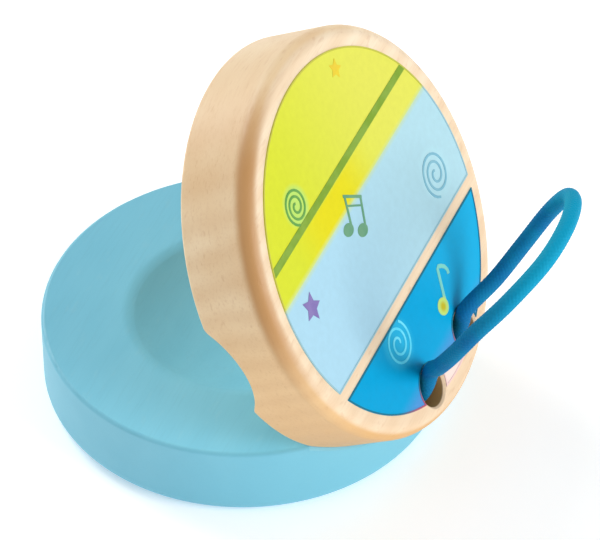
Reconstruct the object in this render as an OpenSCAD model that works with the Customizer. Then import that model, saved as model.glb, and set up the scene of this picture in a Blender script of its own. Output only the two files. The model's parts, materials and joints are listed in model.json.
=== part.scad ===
// Castanets: two round wooden shells that rock on a bevelled crest, held by one elastic cord.
// Frame: origin at the centre of the lower shell's outer face, +Z up, +X towards the hinge.
// The upper shell stands open, resting on its bevel. A shell blank is drawn with its outer
// face on z = 0 and its inner face up, and the upper shell is the same blank turned over.

/* [Shells] */
// Diameter of each wooden shell
shell_d = 60; // [58:1:64]
// Thickness of each shell
shell_t = 12; // [11.5:0.5:14]
// Rounding of the rim at the outer face
rim_round = 2; // [1.6:0.1:2.4]
// Rounding of the rim at the inner face
inner_round = 0.6; // [0.4:0.1:1]
// Radius at which the hollow meets the inner face
hollow_r = 17; // [14:0.5:17.5]
// Depth of the hollow at its middle
hollow_depth = 5; // [4:0.25:5.5]
// Soft rounding of the hollow's lip
lip_round = 4; // [3:0.5:7]

/* [Hinge] */
// Angle between the inner faces when the shells rest open
gape = 60.7; // [58:0.1:62]
// Distance from a shell's centre to the crest that the shells rock on
crest_x = 19.7; // [19.4:0.1:20]
// Clearance between the two shells at the crest
crest_gap = 0.2; // [0.15:0.05:0.4]
// Rounding of the bevel's outer edge
bevel_round = 2.5; // [2:0.25:3]

/* [Finger notch] */
// Depth of the notch in the rim
notch_depth = 3.3; // [2:0.1:4]
// Radius of the notch's floor
notch_r = 11.3; // [9:0.1:13]
// Rounding where the notch meets the inner face
notch_blend = 6; // [3:0.5:8]
// Slope of the notch's floor up towards the hollow, in degrees
notch_slope = 15; // [12:1:20]

/* [Cord] */
// Diameter of the elastic cord
cord_d = 2.5; // [2.2:0.1:2.6]
// Diameter of the cord holes
hole_d = 6; // [5.8:0.1:6.2]
// Distance from a shell's centre to the line through its two cord holes
hole_x = 24; // [23.9:0.1:24.1]
// Half the distance between the two cord holes
hole_y = 6.5; // [6.4:0.1:6.6]
// Width of the bevel round each hole's mouth
mouth_bevel = 0.3; // [0.2:0.1:0.5]
// Depth of the groove that holds the knot under the lower shell
groove_depth = 5.4; // [5.2:0.1:5.6]
// Radius of the knot's pocket in the middle of the groove
pocket_r = 3.6; // [3.4:0.1:3.7]

/* [Print] */
// Radius of the printed circle on the upper shell
print_r = 26.6; // [25:0.1:27]
// Thickness of a printed field
ink_t = 0.1; // [0.08:0.02:0.2]
// Width of the outline round the printed fields
outline_w = 0.25; // [0.2:0.05:0.4]

/* [Hidden] */
$fn = 96;

shell_r = shell_d / 2;
half_gape = gape / 2;
pivot_z = shell_t + crest_gap / 2;
over = 1;                                   // how far a cutting shape runs past a face
far = 3 * shell_d;                          // larger than anything that is cut

// Hollow: a spherical dish whose lip is rounded into the inner face. The rounds cross at a
// very slight angle, because rounds that only touch make slivers.
dish_r = (pow(hollow_r, 2) + pow(hollow_depth, 2)) / (2 * hollow_depth);
dish_z = shell_t - hollow_depth + dish_r;
lip_lap = 0.005;
lip_x = sqrt(pow(dish_r + lip_round - lip_lap, 2) - pow(dish_z - shell_t + lip_round, 2));
lip_z = shell_t - lip_round;
lip_share = 1.1 * lip_round / (dish_r + lip_round);
lip_inner = [lip_x * (1 - lip_share), lip_z + (dish_z - lip_z) * lip_share];  // in the dish

// Bevel edge: the ellipse where the bevel meets the rim is nearly a circle in the bevel's plane.
// The rounding reaches a hair past the rim's wall, so that it crosses the wall cleanly.
edge_tip = (shell_r - crest_x) / cos(half_gape);
edge_side = sqrt(pow(shell_r, 2) - pow(crest_x, 2));
edge_r = (pow(edge_tip, 2) + pow(edge_side, 2)) / (2 * edge_tip);
edge_turn = 86 - half_gape;
edge_lap = 0.04;
edge_centre = edge_r - bevel_round * tan((90 - half_gape) / 2) + edge_lap;
edge_inner = 0.98 * bevel_round;

// Notch: a round floor that turns into the inner face on both sides, with rounds that cross
notch_lap = 0.02;
notch_span = sqrt(
    pow(notch_r + notch_blend - notch_lap, 2) - pow(notch_r - notch_depth + notch_blend, 2)
);
notch_share = notch_r / (notch_r + notch_blend);
notch_turn = [
    notch_span * notch_share,
    notch_depth - notch_r + (notch_r - notch_depth + notch_blend) * notch_share
];
notch_inner = [0.9 * notch_turn[0], 1.2 * notch_turn[1]];   // a point inside the round floor

// Cord route. A shell point is [away from the hinge, across, above the outer face].
// The finger loop leaves one hole's mouth, leans back over the printed face and returns.
loop_route = [
    [-21, -6.9, 1.5], [-17.9, -10.3, 6], [-14.2, -13, 11.6], [-10.6, -13.5, 17.5],
    [-7.7, -11.6, 23.6], [-5.5, -6.3, 28.7], [-4.8, -0.3, 29.9], [-5.5, 6.6, 28.1],
    [-7.6, 11.9, 23.9], [-11.1, 14, 18.2], [-15.2, 12.9, 12.1], [-18.6, 10, 6.6], [-21, 6.9, 1.5]
];
loop_flat = [0.87, 0, -0.5];                // square to the loop, for its rings
// One strand through a hole of the upper shell, from the crossing up to the mouth
upper_route = [[-24.8, 6.9, -6.4], [-25.1, 7.1, -4.5], [-24.7, 7.1, -2.4], [-23.2, 7, -0.5]];
// One strand under the lower shell, from the knot up to the crossing, as [x, y, z]
lower_route = [
    [24, 3.3, 3.2], [24, 4.2, 3.2], [24.1, 5.7, 3.6], [24.4, 6.7, 4.6], [24.8, 7, 6]
];
// Where a strand crosses from shell to shell, along the bevel and across
cross_reach = 6.7;
cross_y = 6.8;
cross_gap = 0.05;
cross_run = 1.4;                            // length that runs square to the bevels there
cord_sides = 8;
knot_z = 3;                                 // height of the knot's middle
wrap_step = 1.9;                            // distance between the knot's wraps
wrap_r = 1.2;                               // radius of the wraps' centreline
wrap_tube_r = 1.1;                          // the cord is squeezed where it is knotted

// Print, in the outer face's plane as [away from the hinge, towards -Y]
lime_edge = 6.3;
sky_edge = -9.6;
blue_edge = -11.4;
line_at = 11.5;
line_w = 1.2;
hole_margin = 0.15;                         // bare wood left round a hole's mouth
motif_t = 0.06;
art_turn = -127;                            // turns a motif upright for the player
spiral_pen = 0.38;                          // line widths: the spirals,
stem_pen = 0.45;                            // the pair's stems and upper beam,
thin_pen = 0.3;                             // its lower beam,
flag_pen = 0.65;                            // and the single note's stem

// Places and sizes of the motifs. A spiral's end is the direction of its outer end, in degrees.
notes_at = [4.3, 5.2];
yellow_note_at = [-18.1, -4.5];
green_spiral_at = [14.5, 12.4];
green_spiral_r = 2.7;
spiral_turns = 2.7;
spiral_end = -80;
teal_spiral_at = [-4.2, -18.3];
teal_spiral_r = 3.5;
cyan_spiral_at = [-14.25, 8.4];
cyan_spiral_r = 3.3;
cyan_spiral_turns = 2.4;
cyan_spiral_end = 80;
purple_star_at = [2.8, 20.5];
purple_star_r = 2.2;
purple_star_turn = 5;
orange_star_at = [21.5, -10.2];
orange_star_r = 1.5;
star_waist = 0.5;                           // radius of a star's inner corners, as a share

function unit(v) = v / norm(v);

// Point on the upper shell, [away from the hinge, across, above the outer face], in the frame
function on_shell(p) =
    let (
        dx = -p[0] - crest_x,
        dz = 2 * shell_t + crest_gap + p[2] - pivot_z
    ) [
        crest_x + dx * cos(gape) + dz * sin(gape),
        p[1],
        pivot_z - dx * sin(gape) + dz * cos(gape)
    ];

// Direction on the upper shell, in the frame
function turn_up(v) = on_shell(v) - on_shell([0, 0, 0]);

// A strand's crossing point on the plane between the two bevels, moved off it by a distance
function crossing(off) = [
    crest_x + cross_reach * cos(half_gape) + off * sin(half_gape),
    cross_y,
    pivot_z - cross_reach * sin(half_gape) + off * cos(half_gape)
];

function flip_y(path) = [for (p = path) [p[0], -p[1], p[2]]];

// Direction of a path at point i
function heading(path, i) = unit(path[min(i + 1, len(path) - 1)] - path[max(i - 1, 0)]);

// Ring of points round path point i, square to the path
function ring(path, radius, flat, i) =
    let (
        along = heading(path, i),
        side = unit(cross(along, flat)),
        up = cross(side, along)
    ) [
        for (k = [0:cord_sides - 1])
            let (a = 360 * k / cord_sides)
                path[i] + radius * (cos(a) * side + sin(a) * up)
    ];

function tube_points(path, radii, flat) = [
    for (i = [0:len(path) - 1])
        for (p = ring(path, radii[i], flat, i)) p
];

function tube_faces(n) = concat(
    [[for (k = [0:cord_sides - 1]) k]],
    [
        for (i = [0:n - 2])
            for (k = [0:cord_sides - 1])
                let (next = (k + 1) % cord_sides, a = i * cord_sides, b = a + cord_sides)
                    [a + k, b + k, b + next, a + next]
    ],
    [[for (k = [cord_sides - 1:-1:0]) (n - 1) * cord_sides + k]]
);

module tube(path, radii, flat) {
    polyhedron(
        points = tube_points(path, radii, flat),
        faces = tube_faces(len(path)),
        convexity = 6
    );
}

// Puts a shell blank, or what is drawn on one, where the open upper shell is
module as_upper() {
    translate([crest_x, 0, pivot_z])
        rotate([0, gape, 0])
            translate([-crest_x, 0, -pivot_z])
                translate([0, 0, 2 * shell_t + crest_gap])
                    rotate([180, 0, 0])
                        children();
}

// Half section of a shell before it is cut: a disc whose rim is rounded at both faces
module disc_section() {
    square([shell_r - rim_round, shell_t]);
    translate([0, rim_round]) {
        square([shell_r, shell_t - rim_round - inner_round]);
        square([shell_r - inner_round, shell_t - rim_round]);
    }
    translate([shell_r - rim_round, rim_round])
        circle(rim_round);
    translate([shell_r - inner_round, shell_t - inner_round])
        circle(inner_round);
}

// Half section of the hollow, with the corner of its lip
module hollow_section() {
    intersection() {
        translate([0, dish_z])
            circle(dish_r, $fn = 240);
        square([hollow_r, shell_t + over]);
    }
    difference() {
        polygon([
            [lip_x, lip_z], [lip_x, shell_t + over],
            [lip_inner[0], shell_t + over], lip_inner
        ]);
        translate([lip_x, lip_z])
            circle(lip_round);
    }
}

// Half section of the wood that the bevel leaves, about the axis square to the bevel
module bevel_section() {
    start = [
        edge_centre + edge_inner * sin(edge_turn),
        edge_inner * cos(edge_turn) - bevel_round
    ];
    translate([0, -shell_t])
        square([edge_centre, shell_t]);
    intersection() {
        translate([edge_centre, -bevel_round])
            circle(bevel_round);
        translate([0, -bevel_round])
            square([edge_r + bevel_round, bevel_round]);
    }
    polygon([
        [edge_centre / 2, -bevel_round], [edge_centre + edge_inner / 2, -bevel_round],
        start,
        [start[0] + shell_t / tan(edge_turn), start[1] - shell_t],
        [edge_centre / 2, start[1] - shell_t]
    ]);
}

// What the bevel takes off the blank at its hinge side
module bevel_cut() {
    difference() {
        translate([crest_x, -far / 2, 0])
            cube([far, far, far]);
        translate([crest_x, 0, shell_t])
            rotate([0, half_gape, 0])
                translate([edge_tip - edge_r, 0, 0])
                    rotate_extrude($fn = 192)
                        bevel_section();
    }
}

// Outline of the notch at the rim, as [along the rim, down from the inner face]
module notch_outline() {
    intersection() {
        translate([0, notch_depth - notch_r])
            circle(notch_r);
        translate([-notch_r, -over])
            square([2 * notch_r, notch_depth + 2 * over]);
    }
    for (side = [-1, 1])
        difference() {
            polygon([
                [side * notch_inner[0], -over], [side * notch_span, -over],
                [side * notch_span, 0], [side * notch_inner[0], notch_inner[1]]
            ]);
            translate([side * notch_span, notch_blend])
                circle(notch_blend);
        }
}

// Finger notch in the rim, on the blank's +Y side
module notch_cut() {
    translate([0, shell_r, shell_t])
        rotate([90 - notch_slope, 0, 0])
            translate([0, 0, -rim_round])
                linear_extrude(shell_r)
                    mirror([0, 1])
                        notch_outline();
}

// One cord hole, with a bevel round its mouth on the outer face
module cord_hole() {
    translate([0, 0, -over])
        cylinder(d = hole_d, h = shell_t + 2 * over);
    translate([0, 0, -over])
        cylinder(
            r1 = hole_d / 2 + mouth_bevel + over,
            r2 = hole_d / 2,
            h = mouth_bevel + over
        );
}

// A shell as it comes off the lathe and the drill: both shells are this blank
module shell_blank() {
    difference() {
        rotate_extrude($fn = 192)
            difference() {
                disc_section();
                hollow_section();
            }
        bevel_cut();
        notch_cut();
        for (side = [-1, 1])
            translate([hole_x, side * hole_y, 0])
                cord_hole();
    }
}

module lower_shell() {
    color("skyblue")
        difference() {
            shell_blank();
            translate([hole_x - hole_d / 2, -hole_y, -over])
                cube([hole_d, 2 * hole_y, groove_depth + over]);
            translate([hole_x, 0, -over])
                cylinder(r = pocket_r, h = groove_depth + over);
        }
}

module upper_shell() {
    color("burlywood")
        as_upper()
            shell_blank();
}

// Two strands from the knot, out along the groove and up through the lower shell's holes
module lower_strands() {
    path = concat(lower_route, [crossing(-cross_run), crossing(-cross_gap)]);
    radii = [for (p = path) cord_d / 2];
    color("royalblue") {
        tube(path, radii, [1, 0, 0]);
        tube(flip_y(path), radii, [1, 0, 0]);
    }
}

// The knot that joins the cord's two ends, as three wraps side by side
module cord_knot() {
    color("royalblue")
        translate([hole_x, 0, knot_z])
            rotate([90, 0, 0])
                rotate_extrude() {
                    for (k = [-1:1])
                        translate([wrap_r, k * wrap_step])
                            circle(wrap_tube_r);
                    translate([0, -wrap_step])
                        square([wrap_r, 2 * wrap_step]);
                }
}

// Two strands through the upper shell's holes, from the crossing to just inside the mouths
module upper_strands() {
    path = concat(
        [crossing(cross_gap), crossing(cross_run)],
        [for (p = upper_route) on_shell(p)]
    );
    radii = [for (p = path) cord_d / 2];
    color("royalblue") {
        tube(path, radii, [0, 1, 0]);
        tube(flip_y(path), radii, [0, 1, 0]);
    }
}

// The free loop for the finger. Its ends are rounded about the points that it swings on.
module finger_loop() {
    end_length = 0.4 * cord_d;
    end_r = 0.3 * cord_d;
    path = [for (p = loop_route) on_shell(p)];
    last = len(path) - 1;
    whole = concat(
        [path[0] - end_length * heading(path, 0)],
        path,
        [path[last] + end_length * heading(path, last)]
    );
    radii = concat([end_r], [for (p = path) cord_d / 2], [end_r]);
    color("dodgerblue")
        tube(whole, radii, turn_up(loop_flat));
}

// Lays a flat shape on the upper shell's outer face, a level above it, with a thickness
module print_layer(level, thickness) {
    as_upper()
        rotate([0, 180, 0])
            translate([0, 0, level])
                linear_extrude(thickness)
                    children();
}

// The printed circle between two lines across it, clear of the cord holes
module band(low, high, shrink = 0) {
    difference() {
        intersection() {
            circle(print_r - shrink, $fn = 192);
            translate([low + shrink, -print_r])
                square([high - low - 2 * shrink, 2 * print_r]);
        }
        for (side = [-1, 1])
            translate([-hole_x, side * hole_y])
                circle(hole_d / 2 + mouth_bevel + hole_margin + shrink);
    }
}

module lime_field() {
    color("greenyellow")
        print_layer(0, ink_t)
            band(lime_edge, print_r + over);
}

module sky_field() {
    color("lightblue")
        print_layer(0, ink_t)
            band(sky_edge, lime_edge);
}

module blue_segment() {
    color("deepskyblue")
        print_layer(0, ink_t)
            band(-print_r - over, blue_edge);
}

// Thin darker line round the two printed areas
module field_outlines() {
    color("darkslategray")
        print_layer(ink_t, motif_t) {
            difference() {
                band(sky_edge, print_r + over);
                band(sky_edge, print_r + over, outline_w);
            }
            difference() {
                band(-print_r - over, blue_edge);
                band(-print_r - over, blue_edge, outline_w);
            }
        }
}

module green_line() {
    color("olivedrab")
        print_layer(ink_t, motif_t)
            band(
                line_at - line_w / 2 - outline_w,
                line_at + line_w / 2 + outline_w,
                outline_w
            );
}

// One side of a line drawn along a path, at point i
function pen_side(path, width, side, i) =
    let (along = heading(path, i))
        path[i] + side * width / 2 * [-along[1], along[0]];

// A line of a given width along a path
module pen_line(path, width) {
    last = len(path) - 1;
    polygon(concat(
        [for (i = [0:last]) pen_side(path, width, -1, i)],
        [for (i = [last:-1:0]) pen_side(path, width, 1, i)]
    ));
}

// A spiral whose outer end points along +X and whose turns close up a little as they widen
module spiral(radius, turns) {
    steps = 72;
    first = 6;
    closing = 0.8;
    pen_line([
        for (k = [first:steps])
            let (share = k / steps, a = -360 * turns * (1 - share))
                radius * pow(share, closing) * [cos(a), sin(a)]
    ], spiral_pen);
}

// A five-pointed star that points along +Y
module star(radius) {
    polygon([
        for (k = [0:9])
            let (r = k % 2 == 0 ? radius : radius * star_waist, a = 90 + 36 * k)
                r * [cos(a), sin(a)]
    ]);
}

// A note's head, an oval that leans up to the right
module note_head(length, width) {
    steps = 32;
    rotate(20)
        polygon([
            for (k = [0:steps - 1])
                let (a = 360 * k / steps)
                    [length / 2 * cos(a), width / 2 * sin(a)]
        ]);
}

// Two notes joined by a thick and a thin beam, upright, with the left head at the origin
module note_pair() {
    right_head = [3.5, -0.15];
    for (at = [[0, 0], right_head])
        translate(at)
            note_head(2.6, 1.9);
    pen_line([[0.85, 0.3], [0.05, 4.75]], stem_pen);
    pen_line([[4.25, 0.5], [3.95, 4.65]], stem_pen);
    pen_line([[-0.35, 4.8], [4.25, 4.65]], stem_pen);
    pen_line([[0.3, 3.4], [4, 3.4]], thin_pen);
}

// One note whose stem bends over into a curled flag, upright, with its head at the origin
module single_note() {
    note_head(2.9, 2.6);
    pen_line([
        [0.7, 0.8], [0.2, 3.4], [-0.2, 5.5], [0.1, 5.85],
        [0.9, 5.9], [1.7, 5.75], [2.3, 5.3], [2.5, 4.7]
    ], flag_pen);
}

// Places a motif on the printed face and turns it upright
module motif(at, turn = 0) {
    print_layer(ink_t, motif_t)
        translate(at)
            rotate(art_turn + turn)
                children();
}

module green_notes() {
    color("seagreen")
        motif(notes_at)
            note_pair();
}

module green_spiral() {
    color("forestgreen")
        motif(green_spiral_at, spiral_end)
            spiral(green_spiral_r, spiral_turns);
}

module teal_spiral() {
    color("steelblue")
        motif(teal_spiral_at, spiral_end)
            spiral(teal_spiral_r, spiral_turns);
}

module cyan_spiral() {
    color("paleturquoise")
        motif(cyan_spiral_at, cyan_spiral_end)
            spiral(cyan_spiral_r, cyan_spiral_turns);
}

module purple_star() {
    color("mediumpurple")
        motif(purple_star_at, purple_star_turn)
            star(purple_star_r);
}

module orange_star() {
    color("gold")
        motif(orange_star_at)
            star(orange_star_r);
}

module yellow_note() {
    color("yellow")
        motif(yellow_note_at)
            single_note();
}

lower_shell();
upper_shell();
lower_strands();
cord_knot();
upper_strands();
finger_loop();
lime_field();
sky_field();
blue_segment();
field_outlines();
green_line();
green_notes();
green_spiral();
teal_spiral();
cyan_spiral();
purple_star();
orange_star();
yellow_note();
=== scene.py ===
import json
import math
import bpy
import numpy as np
from mathutils import Matrix, Vector


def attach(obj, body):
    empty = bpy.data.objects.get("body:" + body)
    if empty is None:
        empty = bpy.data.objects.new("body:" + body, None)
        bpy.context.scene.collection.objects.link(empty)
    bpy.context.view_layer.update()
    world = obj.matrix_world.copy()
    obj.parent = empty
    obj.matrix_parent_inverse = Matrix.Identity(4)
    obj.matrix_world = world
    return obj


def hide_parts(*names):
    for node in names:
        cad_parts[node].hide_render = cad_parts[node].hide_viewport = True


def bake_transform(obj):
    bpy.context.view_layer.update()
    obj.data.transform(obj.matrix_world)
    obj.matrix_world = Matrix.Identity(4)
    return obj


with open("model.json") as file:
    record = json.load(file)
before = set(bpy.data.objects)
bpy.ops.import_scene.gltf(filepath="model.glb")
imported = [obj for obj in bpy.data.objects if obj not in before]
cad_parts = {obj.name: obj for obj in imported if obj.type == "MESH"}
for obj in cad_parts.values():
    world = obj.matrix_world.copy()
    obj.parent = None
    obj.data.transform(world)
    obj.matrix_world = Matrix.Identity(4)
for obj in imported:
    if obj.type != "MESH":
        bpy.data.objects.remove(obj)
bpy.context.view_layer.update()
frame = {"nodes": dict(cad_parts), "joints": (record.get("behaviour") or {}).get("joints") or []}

# ---------------------------------------------------------------------------
# Sizes, in metres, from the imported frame
# ---------------------------------------------------------------------------
MM = 0.001
joints = {j["name"]: j for j in frame["joints"]}
PIVOT = Vector(joints["clap"]["pos_m"])
GAPE = math.radians(joints["clap"]["range_deg"][1])

TOP_Z = 2 * PIVOT.z                      # the upper shell's outer face when it is closed
HALF_GAPE = GAPE / 2

# Cord: the points of part.scad's route. The loop's and the upper route's points are given as
# on_shell takes them, and the lower route's are in the frame.
CORD_D = 0.0025
LOOP_ROUTE = [
    (-0.0210, -0.0069, 0.0015), (-0.0179, -0.0103, 0.0060), (-0.0142, -0.0130, 0.0116),
    (-0.0106, -0.0135, 0.0175), (-0.0077, -0.0116, 0.0236), (-0.0055, -0.0063, 0.0287),
    (-0.0048, -0.0003, 0.0299), (-0.0055, 0.0066, 0.0281), (-0.0076, 0.0119, 0.0239),
    (-0.0111, 0.0140, 0.0182), (-0.0152, 0.0129, 0.0121), (-0.0186, 0.0100, 0.0066),
    (-0.0210, 0.0069, 0.0015),
]
UPPER_ROUTE = [
    (-0.0248, 0.0069, -0.0064), (-0.0251, 0.0071, -0.0045),
    (-0.0247, 0.0071, -0.0024), (-0.0232, 0.0070, -0.0005),
]
LOWER_ROUTE = [
    (0.0240, 0.0033, 0.0032), (0.0240, 0.0042, 0.0032), (0.0241, 0.0057, 0.0036),
    (0.0244, 0.0067, 0.0046), (0.0248, 0.0070, 0.0060),
]
CROSS_REACH = 0.0067                     # where a strand crosses, along the bevel
CROSS_Y = 0.0068                         # and across
CROSS_GAP = 0.00005                      # from the plane between the bevels to the cord's end
CROSS_RUN = 0.0014                       # length that runs square to the bevels there
KNOT_AT = Vector((0.0240, 0.0, 0.0030))


def on_shell(p):
    """Point on the upper shell, (away from the hinge, across, above the face), in the frame."""
    closed = Vector((-p[0], p[1], TOP_Z + p[2]))
    return Matrix.Rotation(GAPE, 3, "Y") @ (closed - PIVOT) + PIVOT


def crossing(off):
    """A strand's point on the plane between the two bevels, moved off it by a distance."""
    return PIVOT + Vector((
        CROSS_REACH * math.cos(HALF_GAPE) + off * math.sin(HALF_GAPE),
        CROSS_Y,
        -CROSS_REACH * math.sin(HALF_GAPE) + off * math.cos(HALF_GAPE),
    ))


def flip_y(points):
    """The same points on the other side of the hinge's middle plane."""
    return [Vector((p[0], -p[1], p[2])) for p in points]


# ---------------------------------------------------------------------------
# Camera
# ---------------------------------------------------------------------------
AZIMUTH = math.radians(22.8)             # from the frame's -Y side towards +X
ELEVATION = math.radians(43.35)
ROLL = -0.0037                           # radians
DISTANCE = 0.6449                        # metres from the frame's origin
PAN_RIGHT = 0.00819                      # and sideways and up across the view
PAN_UP = 0.01453
LENS_MM = 258.76
SENSOR_MM = 36


def make_camera():
    """Camera at the photograph's viewing angle."""
    back = Vector((
        math.sin(AZIMUTH) * math.cos(ELEVATION),
        -math.cos(AZIMUTH) * math.cos(ELEVATION),
        math.sin(ELEVATION),
    ))
    level = Vector((math.cos(AZIMUTH), math.sin(AZIMUTH), 0))
    tall = back.cross(level)
    right = math.cos(ROLL) * level + math.sin(ROLL) * tall
    up = math.cos(ROLL) * tall - math.sin(ROLL) * level
    data = bpy.data.cameras.new("camera")
    data.lens = LENS_MM
    data.sensor_width = SENSOR_MM
    data.clip_start = 0.01
    data.clip_end = 20
    camera = bpy.data.objects.new("camera", data)
    bpy.context.scene.collection.objects.link(camera)
    turn = Matrix((right, up, back)).transposed().to_4x4()
    place = back * DISTANCE + right * PAN_RIGHT + up * PAN_UP
    camera.matrix_world = Matrix.Translation(place) @ turn
    bpy.context.scene.camera = camera


make_camera()


# ---------------------------------------------------------------------------
# Meshes
# ---------------------------------------------------------------------------
def link_mesh(name, vertices, faces, smooth=True):
    """A new object with this mesh."""
    mesh = bpy.data.meshes.new(name)
    mesh.from_pydata([tuple(v) for v in vertices], [], [tuple(f) for f in faces])
    mesh.validate()
    mesh.polygons.foreach_set("use_smooth", [smooth] * len(mesh.polygons))
    mesh.update()
    made = bpy.data.objects.new(name, mesh)
    bpy.context.scene.collection.objects.link(made)
    return made


SPAN_STEPS = 24                          # samples between two given points


def smooth_path(points, step):
    """Points a step apart on a smooth curve through the given ones (centripetal Catmull-Rom)."""
    p = np.array([tuple(q) for q in points])
    p = np.vstack([2 * p[0] - p[1], p, 2 * p[-1] - p[-2]])
    dense = []
    for i in range(1, len(p) - 2):
        q = p[i - 1:i + 3]
        t = np.concatenate([[0], np.cumsum(np.linalg.norm(np.diff(q, axis=0), axis=1) ** 0.5)])
        for s in np.linspace(t[1], t[2], SPAN_STEPS, endpoint=False):
            a = [q[k] + (q[k + 1] - q[k]) * (s - t[k]) / (t[k + 1] - t[k]) for k in range(3)]
            b = [a[k] + (a[k + 1] - a[k]) * (s - t[k]) / (t[k + 2] - t[k]) for k in range(2)]
            dense.append(b[0] + (b[1] - b[0]) * (s - t[1]) / (t[2] - t[1]))
    dense = np.array(dense + [p[-2]])
    along = np.concatenate([[0], np.cumsum(np.linalg.norm(np.diff(dense, axis=0), axis=1))])
    count = max(2, round(along[-1] / step))
    at = np.linspace(0, along[-1], count + 1)
    return np.stack([np.interp(at, along, dense[:, k]) for k in range(3)], axis=1)


def frames_along(path, first_side):
    """Unit tangents and two cross directions at each point, turned as little as possible."""
    tangent = np.gradient(path, axis=0)
    tangent /= np.linalg.norm(tangent, axis=1)[:, None]
    side = np.array(first_side, float)
    sides = []
    for t in tangent:
        side = side - t * (side @ t)
        side /= np.linalg.norm(side)
        sides.append(side)
    sides = np.array(sides)
    return tangent, sides, np.cross(tangent, sides)


# ---------------------------------------------------------------------------
# Elastic cord: a braided cover, woven in the mesh
# ---------------------------------------------------------------------------
YARNS = 10                               # in each direction
BRAID_PITCH = 0.0065                     # length in which a yarn goes once round
YARN_HEIGHT = 0.00011
YARN_ROUNDNESS = 0.7                     # below 1, a yarn's back is flatter than a cosine
YARN_DIP = 0.38                          # how far a yarn sinks where it goes under another
ROUND_STEPS = 80                         # mesh points round the cord
RING_STEP = 0.00014                      # and the distance between its rings


def braid_height(angle, along):
    """How far the cover stands proud, 0 to 1, from the yarn that lies on top at a point."""
    turn = angle / (2 * math.pi)
    one = YARNS * (turn + along / BRAID_PITCH)
    two = YARNS * (turn - along / BRAID_PITCH)
    first_on_top = (np.floor(one) + np.floor(two)) % 2 < 1
    across = np.where(first_on_top, one, two) % 1 - 0.5
    length = np.where(first_on_top, two, one) % 1 - 0.5
    crown = 1 - YARN_DIP + YARN_DIP * np.cos(math.pi * length)
    return np.cos(math.pi * across) ** YARN_ROUNDNESS * crown


def braided_tube(name, path, first_side, diameter, ends=0.0):
    """A round braided cord along a path. ends is how much its two end caps bulge."""
    tangent, side, up = frames_along(path, first_side)
    along = np.concatenate([[0], np.cumsum(np.linalg.norm(np.diff(path, axis=0), axis=1))])
    angle = np.linspace(0, 2 * math.pi, ROUND_STEPS, endpoint=False)
    height = braid_height(angle[None, :], along[:, None])
    radius = diameter / 2 - YARN_HEIGHT * (1 - height)
    outward = np.cos(angle)[None, :, None] * side[:, None, :]
    outward = outward + np.sin(angle)[None, :, None] * up[:, None, :]
    rings = path[:, None, :] + radius[:, :, None] * outward
    first_tip = path[0] - tangent[0] * ends
    last_tip = path[-1] + tangent[-1] * ends
    vertices = np.vstack([rings.reshape(-1, 3), first_tip, last_tip])

    def corner(ring, k):
        return ring * ROUND_STEPS + k % ROUND_STEPS

    last = len(path) - 1
    tip = len(path) * ROUND_STEPS
    faces = []
    for i in range(last):
        for k in range(ROUND_STEPS):
            faces.append((corner(i, k), corner(i, k + 1), corner(i + 1, k + 1), corner(i + 1, k)))
    for k in range(ROUND_STEPS):
        faces.append((tip, corner(0, k + 1), corner(0, k)))
        faces.append((tip + 1, corner(last, k), corner(last, k + 1)))
    return link_mesh(name, vertices, faces)


def make_finger_cord():
    """The cord from one crossing up through its hole, round the finger loop and back down."""
    rise = [crossing(CROSS_GAP), crossing(CROSS_RUN)] + [on_shell(p) for p in UPPER_ROUTE]
    loop = [on_shell(p) for p in LOOP_ROUTE]
    points = flip_y(rise) + loop + rise[::-1]
    path = smooth_path(points, RING_STEP)
    cord = braided_tube("finger_cord", path, (0, 1, 0.2), CORD_D)
    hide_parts("upper_strands", "finger_loop")
    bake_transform(cord)
    return cord


STRAND_D = CORD_D * 0.985                # thinner, so that its end fits inside the finger cord
STRAND_LAP = 0.0006                      # how far it runs on inside
KNOT_EXIT = 0.0012                       # from the knot's middle to a strand's start


def make_lower_strand(name, side):
    """The cord from the knot along the groove and up to the crossing, on one side."""
    route = [Vector(p) for p in LOWER_ROUTE] + [crossing(-CROSS_RUN), crossing(STRAND_LAP)]
    points = [KNOT_AT + Vector((0, KNOT_EXIT, 0))] + route
    if side < 0:
        points = flip_y(points)
    strand = braided_tube(name, smooth_path(points, RING_STEP), (1, 0, 0.1), STRAND_D)
    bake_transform(strand)
    return strand


WRAP_R = 0.00135                         # radius of the wraps' centreline
WRAP_D = 0.0018                          # the cord is squeezed where it is knotted
WRAP_STEP = 0.00175                      # distance between the wraps
WRAP_TURNS = 3
WRAP_START = 0.6                         # direction of the first wrap's start, in radians
WRAP_BULGE = 0.0003                      # how far the cut ends stand out
TURN_STEPS = 30                          # points in a turn


def make_knot():
    """The knot in its pocket: the cord wrapped three times, with its cut ends bulging."""
    coil = []
    for k in range(TURN_STEPS * WRAP_TURNS + 1):
        turn = k / TURN_STEPS
        angle = 2 * math.pi * turn + WRAP_START
        coil.append(KNOT_AT + Vector((
            WRAP_R * math.cos(angle),
            WRAP_STEP * (turn - WRAP_TURNS / 2),
            WRAP_R * math.sin(angle),
        )))
    path = smooth_path(coil, RING_STEP)
    knot = braided_tube("cord_knot_wraps", path, (0, 1, 0), WRAP_D, WRAP_BULGE)
    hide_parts("cord_knot")
    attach(knot, "lower")
    return knot


cords = [make_finger_cord(), make_lower_strand("strand_near", -1), make_lower_strand("strand_far", 1)]
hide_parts("lower_strands")
cords.append(make_knot())


# ---------------------------------------------------------------------------
# Materials
# ---------------------------------------------------------------------------
def srgb(red, green, blue):
    """A colour given as 0 to 255 on screen, as the linear colour that shaders take."""
    def linear(c):
        c /= 255
        return c / 12.92 if c <= 0.04045 else ((c + 0.055) / 1.055) ** 2.4
    return (linear(red), linear(green), linear(blue), 1.0)


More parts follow.
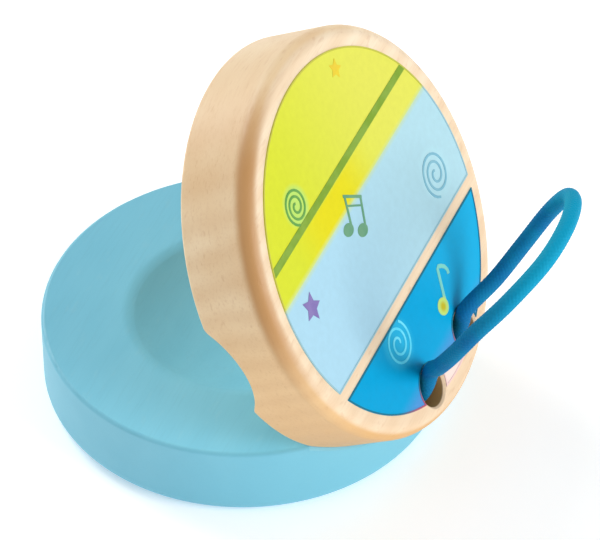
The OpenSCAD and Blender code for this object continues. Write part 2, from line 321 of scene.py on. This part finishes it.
class Paint:
    """A material being wired up. Values are numbers or other nodes' outputs."""

    def __init__(self, name):
        self.material = bpy.data.materials.new(name)
        self.material.use_nodes = True
        self.tree = self.material.node_tree
        self.tree.nodes.clear()
        self.shader = self.node("ShaderNodeBsdfPrincipled")
        output = self.node("ShaderNodeOutputMaterial")
        self.tree.links.new(self.shader.outputs[0], output.inputs["Surface"])

    def node(self, kind, **settings):
        made = self.tree.nodes.new(kind)
        for name, value in settings.items():
            setattr(made, name, value)
        return made

    def feed(self, socket, value):
        if isinstance(value, bpy.types.NodeSocket):
            self.tree.links.new(value, socket)
        else:
            socket.default_value = value

    def place(self):
        """Position in the frame at rest."""
        return self.node("ShaderNodeTexCoord").outputs["Object"]

    def closed_place(self):
        """Position on the upper shell, as if it lay closed on the lower one."""
        turned = Matrix.Rotation(-GAPE, 3, "Y")
        mapping = self.node("ShaderNodeMapping", vector_type="POINT")
        self.feed(mapping.inputs["Vector"], self.place())
        mapping.inputs["Rotation"].default_value = (0, -GAPE, 0)
        mapping.inputs["Location"].default_value = PIVOT - turned @ PIVOT
        return mapping.outputs[0]

    def scaled(self, vector, scale):
        mapping = self.node("ShaderNodeMapping", vector_type="POINT")
        self.feed(mapping.inputs["Vector"], vector)
        mapping.inputs["Scale"].default_value = scale
        return mapping.outputs[0]

    def axis(self, vector, letter):
        split = self.node("ShaderNodeSeparateXYZ")
        self.feed(split.inputs[0], vector)
        return split.outputs[letter]

    def math(self, operation, *values):
        made = self.node("ShaderNodeMath", operation=operation)
        for socket, value in zip(made.inputs, values):
            self.feed(socket, value)
        return made.outputs[0]

    def noise(self, vector, scale, detail=3.0, rough=0.55):
        made = self.node("ShaderNodeTexNoise")
        self.feed(made.inputs["Vector"], vector)
        made.inputs["Scale"].default_value = scale
        made.inputs["Detail"].default_value = detail
        made.inputs["Roughness"].default_value = rough
        return made.outputs["Fac"]

    def ramp(self, value, low, high):
        """0 below low, 1 above high, and a smooth step between."""
        made = self.node("ShaderNodeMapRange", interpolation_type="SMOOTHSTEP")
        self.feed(made.inputs["Value"], value)
        made.inputs["From Min"].default_value = low
        made.inputs["From Max"].default_value = high
        return made.outputs[0]

    def mix(self, share, one, two):
        made = self.node("ShaderNodeMix", data_type="RGBA")
        self.feed(made.inputs["Factor"], share)
        self.feed(made.inputs[6], one)
        self.feed(made.inputs[7], two)
        return made.outputs[2]

    def tint(self, colour, share, strength, toward):
        """The colour drawn toward another, by a share of 0 to 1 times a strength."""
        return self.mix(self.math("MULTIPLY", share, strength), colour, toward)

    def from_axis(self, vector):
        """Distance from the shells' common axis."""
        length = self.node("ShaderNodeVectorMath", operation="LENGTH")
        self.feed(length.inputs[0], self.scaled(vector, (1, 1, 0)))
        return length.outputs["Value"]

    def near(self, vector, centre, radius, soft):
        """1 within a radius of a point, fading to 0."""
        away = self.node("ShaderNodeVectorMath", operation="DISTANCE")
        self.feed(away.inputs[0], vector)
        away.inputs[1].default_value = centre
        return self.math("SUBTRACT", 1.0, self.ramp(away.outputs["Value"], radius, radius + soft))

    def bump(self, height, distance, strength):
        made = self.node("ShaderNodeBump")
        made.inputs["Strength"].default_value = strength
        made.inputs["Distance"].default_value = distance
        self.feed(made.inputs["Height"], height)
        return made.outputs[0]

    def finish(self, colour, roughness, normal=None, coat=0.0, coat_rough=0.1):
        self.feed(self.shader.inputs["Base Color"], colour)
        self.feed(self.shader.inputs["Roughness"], roughness)
        if normal is not None:
            self.feed(self.shader.inputs["Normal"], normal)
        self.shader.inputs["Coat Weight"].default_value = coat
        self.shader.inputs["Coat Roughness"].default_value = coat_rough
        return self.material


def give(obj, material):
    """Puts a material on every slot of an object."""
    if not obj.material_slots:
        obj.data.materials.append(material)
    for place in obj.material_slots:
        place.material = material


RING_WAVE = 1700                         # radians of growth ring in a metre
RING_WARP = 9.0                          # radians by which the rings wander


def wood_figure(paint, place):
    """Rings, fibres, ray flecks and broad shade of beech whose grain runs across the shell."""
    warp = paint.noise(paint.scaled(place, (1, 0.25, 1)), 55, 2)
    straight = paint.math("MULTIPLY", paint.axis(place, "X"), RING_WAVE)
    ring_at = paint.math("ADD", straight, paint.math("MULTIPLY", warp, RING_WARP))
    rings = paint.math("MULTIPLY", paint.math("ADD", paint.math("SINE", ring_at), 1.0), 0.5)
    fibre = paint.noise(paint.scaled(place, (1, 0.06, 1)), 2600, 3, 0.6)
    fleck = paint.noise(paint.scaled(place, (0.45, 0.16, 1)), 2300, 2, 0.5)
    flecks = paint.ramp(fleck, 0.60, 0.74)
    broad = paint.noise(paint.scaled(place, (1, 0.3, 1)), 60, 3)
    return rings, fibre, flecks, broad


def beech():
    """Pale beech under a thin satin lacquer, with painted light on the outer face and a brown band of
    painted shade on the rim's rounding beside it.
    """
    paint = Paint("beech")
    place = paint.closed_place()
    rings, fibre, flecks, broad = wood_figure(paint, place)
    along = paint.axis(place, "X")
    # darker and browner towards the hinge, the lower side when open: partly the wood's own tone, partly
    # painted shade
    tone = paint.mix(paint.ramp(along, -0.028, -0.018), srgb(235, 210, 171), srgb(246, 224, 188))
    tone = paint.mix(paint.ramp(along, -0.018, 0.002), tone, srgb(232, 196, 146))
    tone = paint.mix(paint.ramp(along, 0.002, 0.024), tone, srgb(216, 167, 102))
    colour = paint.tint(tone, paint.ramp(broad, 0.35, 0.65), 0.5, srgb(222, 180, 126))
    # painted light: the bare wood of the outer face made paler
    painted_face_light = paint.ramp(paint.axis(place, "Z"), TOP_Z - 0.0006, TOP_Z - 0.0001)
    colour = paint.tint(colour, painted_face_light, 0.65, srgb(240, 223, 198))
    colour = paint.tint(colour, rings, 0.26, srgb(214, 170, 120))
    colour = paint.tint(colour, paint.ramp(fibre, 0.45, 0.75), 0.2, srgb(204, 158, 112))
    colour = paint.tint(colour, flecks, 0.24, srgb(196, 146, 98))
    # painted shade: a brown band on the rim's rounding, away from the hinge
    colour = paint.tint(colour, edge_shade_mask(paint, place), 0.95, srgb(190, 140, 84))
    height = paint.math("ADD", paint.math("MULTIPLY", fibre, 0.6), paint.math("MULTIPLY", flecks, -0.5))
    rough = paint.math("ADD", 0.42, paint.math("MULTIPLY", fibre, 0.14))
    return paint.finish(colour, rough, paint.bump(height, 0.00006, 0.5), coat=0.06, coat_rough=0.3)


def edge_shade_mask(paint, place):
    """Painted shade: 1 on the rim's rounding at the outer face, on the notch's side away from the
    hinge.
    """
    turned = paint.ramp(paint.from_axis(place), 0.0278, 0.0290)
    near_face = paint.ramp(paint.axis(place, "Z"), TOP_Z - 0.0030, TOP_Z - 0.0014)
    far_side = paint.ramp(paint.axis(place, "X"), 0.012, -0.008)
    notch_side = paint.ramp(paint.axis(place, "Y"), -0.002, -0.017)
    on_edge = paint.math("MULTIPLY", turned, near_face)
    return paint.math("MULTIPLY", on_edge, paint.math("MULTIPLY", far_side, notch_side))


def blue_paint():
    """Sky-blue paint on turned beech, thin enough for the grain to show a little."""
    paint = Paint("blue_paint")
    place = paint.place()
    rings, fibre, flecks, broad = wood_figure(paint, place)
    colour = paint.mix(paint.ramp(broad, 0.3, 0.7), srgb(126, 206, 232), srgb(112, 196, 224))
    colour = paint.tint(colour, paint.ramp(fibre, 0.45, 0.8), 0.12, srgb(98, 166, 192))
    colour = paint.tint(colour, flecks, 0.12, srgb(150, 208, 226))
    on_wall = paint.ramp(paint.from_axis(place), 0.0292, 0.0299)
    colour = paint.tint(colour, on_wall, 0.5, srgb(112, 182, 200))
    height = paint.math("ADD", paint.math("MULTIPLY", fibre, 0.5), paint.math("MULTIPLY", rings, 0.25))
    rough = paint.math("ADD", 0.42, paint.math("MULTIPLY", broad, 0.12))
    return paint.finish(colour, rough, paint.bump(height, 0.00005, 0.35), coat=0.03, coat_rough=0.3)


def ink(name, make_colour):
    """Printed ink: a colour worked out on the closed shell, with a fine mottle and grain."""
    paint = Paint(name)
    place = paint.closed_place()
    colour = make_colour(paint, place)
    mottle = paint.noise(place, 900, 3, 0.6)
    fibre = paint.noise(paint.scaled(place, (1, 0.08, 1)), 2400, 2, 0.6)
    dark = paint.node("ShaderNodeHueSaturation")
    paint.feed(dark.inputs["Value"], paint.math("ADD", 0.81, paint.math("MULTIPLY", mottle, 0.09)))
    paint.feed(dark.inputs["Color"], colour)
    rough = paint.math("ADD", 0.42, paint.math("MULTIPLY", mottle, 0.1))
    paint.shader.inputs["Specular IOR Level"].default_value = 0.05
    return paint.finish(dark.outputs[0], rough, paint.bump(fibre, 0.00003, 0.4))


# The motifs' places in part.scad, in millimetres: how far away from the hinge, and across
# towards +Y, where part.scad counts towards -Y.
GREEN_SPIRAL = (14.5, -12.4)
TEAL_SPIRAL = (-4.2, 18.3)
CYAN_SPIRAL = (-14.25, -8.4)
NOTE_HEAD = (-18.1, 4.5)


def face_point(away, across):
    """Point of the closed shell's outer face, in the frame."""
    return (-away * MM, across * MM, TOP_Z)


def face_axes(paint, place):
    """Millimetres away from the hinge and across, on the closed shell's outer face."""
    away = paint.math("MULTIPLY", paint.axis(place, "X"), -1 / MM)
    across = paint.math("MULTIPLY", paint.axis(place, "Y"), 1 / MM)
    return away, across


def lime_colour(paint, place):
    """Lime that turns yellow beside the green line, mint round the spiral."""
    away, across = face_axes(paint, place)
    colour = paint.mix(paint.ramp(across, -16, 18), srgb(222, 230, 56), srgb(234, 234, 96))
    below_line = paint.math("SUBTRACT", 1.0, paint.ramp(away, 10.3, 11.3))
    off_middle = paint.math("ABSOLUTE", paint.math("ADD", across, 5.0))
    golden = paint.math("SUBTRACT", 1.0, paint.ramp(off_middle, 3, 14))
    colour = paint.tint(colour, below_line, golden, srgb(236, 224, 30))
    colour = paint.mix(paint.ramp(away, 7.1, 6.1), colour, srgb(214, 232, 150))
    halo = paint.near(place, face_point(*GREEN_SPIRAL), 0.0023, 0.0012)
    return paint.tint(colour, halo, 0.7, srgb(186, 238, 132))


def sky_colour(paint, place):
    """Pale sky blue, a little greener towards one side, paler round the spiral."""
    away, across = face_axes(paint, place)
    colour = paint.mix(paint.ramp(across, -18, 20), srgb(178, 222, 242), srgb(184, 226, 238))
    colour = paint.mix(paint.ramp(away, 5.4, 6.3), colour, srgb(196, 226, 200))
    halo = paint.near(place, face_point(*TEAL_SPIRAL), 0.0030, 0.0016)
    return paint.tint(colour, halo, 0.6, srgb(190, 236, 246))


def between_holes(paint, away, across):
    """1 at the hinge rim between the two cord holes, where the ink is worn pale."""
    at_rim = paint.ramp(away, -23.2, -24.8)
    middle = paint.ramp(paint.math("ABSOLUTE", across), 9.0, 6.0)
    return paint.math("MULTIPLY", at_rim, middle)


def bright_colour(paint, place):
    """Bright blue that fades to violet and pink at the hinge rim, paler round the spiral."""
    away, across = face_axes(paint, place)
    colour = paint.mix(paint.ramp(across, -4, 18), srgb(0, 168, 222), srgb(20, 180, 232))
    halo = paint.near(place, face_point(*CYAN_SPIRAL), 0.0028, 0.0016)
    colour = paint.tint(colour, halo, 0.45, srgb(60, 200, 236))
    colour = paint.tint(colour, paint.ramp(away, -20.5, -24.0), 0.7, srgb(104, 146, 220))
    colour = paint.tint(colour, paint.ramp(away, -24.0, -26.4), 0.8, srgb(196, 118, 168))
    return paint.mix(between_holes(paint, away, across), colour, srgb(255, 232, 222))


def outline_colour(paint, place):
    """Olive round the lime, grey-blue round the sky field, teal round the blue, red at the rim."""
    away, across = face_axes(paint, place)
    colour = paint.mix(paint.ramp(away, 5.8, 6.8), srgb(160, 204, 218), srgb(204, 202, 84))
    colour = paint.mix(paint.ramp(away, -10.2, -10.9), colour, srgb(30, 124, 152))
    at_rim = paint.ramp(away, -21.0, -24.5)
    colour = paint.tint(colour, at_rim, paint.ramp(across, 8.0, 4.0), srgb(190, 96, 124))
    return paint.mix(between_holes(paint, away, across), colour, srgb(250, 214, 210))


def note_colour(paint, place):
    """A golden head that pales at its edge, and a mint stem."""
    head = face_point(*NOTE_HEAD)
    edge = paint.near(place, head, 0.0011, 0.0008)
    colour = paint.mix(edge, srgb(130, 216, 204), srgb(200, 232, 124))
    return paint.mix(paint.near(place, head, 0.0003, 0.0008), colour, srgb(206, 192, 48))


def two_tone(one, two):
    """A colour that wanders between two."""
    def make(paint, place):
        return paint.mix(paint.ramp(paint.noise(place, 400, 2), 0.35, 0.65), one, two)
    return make


def elastic():
    """Blue braided elastic with fine fibres, and a painted highlight that makes the loop paler towards
    its tip.
    """
    paint = Paint("elastic")
    place = paint.place()
    fibre = paint.noise(place, 5200, 2, 0.6)
    broad = paint.noise(place, 130, 2)
    colour = paint.mix(paint.ramp(broad, 0.35, 0.65), srgb(0, 122, 168), srgb(0, 108, 164))
    # painted highlight: paler teal towards the loop's tip
    tip_highlight = paint.ramp(paint.axis(paint.closed_place(), "Z"), TOP_Z + 0.016, TOP_Z + 0.030)
    colour = paint.mix(tip_highlight, colour, srgb(0, 152, 190))
    colour = paint.tint(colour, paint.ramp(fibre, 0.5, 0.8), 0.3, srgb(0, 150, 190))
    rough = paint.math("ADD", 0.6, paint.math("MULTIPLY", fibre, 0.2))
    paint.shader.inputs["Specular IOR Level"].default_value = 0.15
    return paint.finish(colour, rough, paint.bump(fibre, 0.00004, 0.5))


nodes = frame["nodes"]
give(nodes["upper_shell"], beech())
give(nodes["lower_shell"], blue_paint())
INKS = {
    "lime_field": lime_colour,
    "sky_field": sky_colour,
    "blue_segment": bright_colour,
    "field_outlines": outline_colour,
    "green_line": two_tone(srgb(132, 168, 56), srgb(142, 176, 72)),
    "green_notes": two_tone(srgb(106, 164, 128), srgb(118, 170, 134)),
    "green_spiral": two_tone(srgb(104, 168, 84), srgb(116, 174, 92)),
    "teal_spiral": two_tone(srgb(134, 194, 216), srgb(146, 202, 220)),
    "cyan_spiral": two_tone(srgb(96, 226, 255), srgb(120, 232, 255)),
    "purple_star": two_tone(srgb(138, 122, 184), srgb(148, 132, 190)),
    "orange_star": two_tone(srgb(242, 216, 62), srgb(240, 210, 66)),
    "yellow_note": note_colour,
}
for name, make_colour in INKS.items():
    give(nodes[name], ink(name + "_ink", make_colour))
elastic_material = elastic()
for cord in cords:
    give(cord, elastic_material)


# ---------------------------------------------------------------------------
# Stage: pale floor and soft studio light
# ---------------------------------------------------------------------------
FLOOR_HALF = 3.0
FLOOR_Z = -0.0002                        # clear of the lower shell's face
FLOOR_GLOW = 0.27                        # lifts the floor to the photo's white
LIGHT_SIZE = 0.5


def make_floor():
    corners = [(x * FLOOR_HALF, y * FLOOR_HALF, 0) for x, y in ((-1, -1), (1, -1), (1, 1), (-1, 1))]
    floor = link_mesh("floor", corners, [(0, 1, 2, 3)], smooth=False)
    paint = Paint("floor_white")
    mottle = paint.noise(paint.place(), 30, 2)
    colour = paint.mix(mottle, srgb(250, 250, 250), srgb(252, 252, 252))
    paint.feed(paint.shader.inputs["Emission Color"], colour)
    paint.shader.inputs["Emission Strength"].default_value = FLOOR_GLOW
    give(floor, paint.finish(colour, 0.9))
    floor.location.z = FLOOR_Z


def area_light(name, place, aim, power):
    data = bpy.data.lights.new(name, "AREA")
    data.shape = "DISK"
    data.size = LIGHT_SIZE
    data.energy = power
    light = bpy.data.objects.new(name, data)
    bpy.context.scene.collection.objects.link(light)
    light.location = place
    light.rotation_mode = "QUATERNION"
    light.rotation_quaternion = (Vector(place) - Vector(aim)).to_track_quat("Z", "Y")


def make_light():
    world = bpy.data.worlds.new("studio")
    world.use_nodes = True
    background = world.node_tree.nodes["Background"]
    background.inputs["Color"].default_value = (1, 1, 1, 1)
    background.inputs["Strength"].default_value = 0.44
    bpy.context.scene.world = world
    middle = (0.005, 0, 0.03)
    area_light("back_left", (-0.68, 0.28, 0.55), middle, 4.8)
    area_light("front_left", (-0.51, -0.47, 0.61), middle, 0.5)
    area_light("right", (0.82, -0.1, 0.38), middle, 5.0)


make_floor()
make_light()
bpy.context.scene.view_settings.view_transform = "Standard"
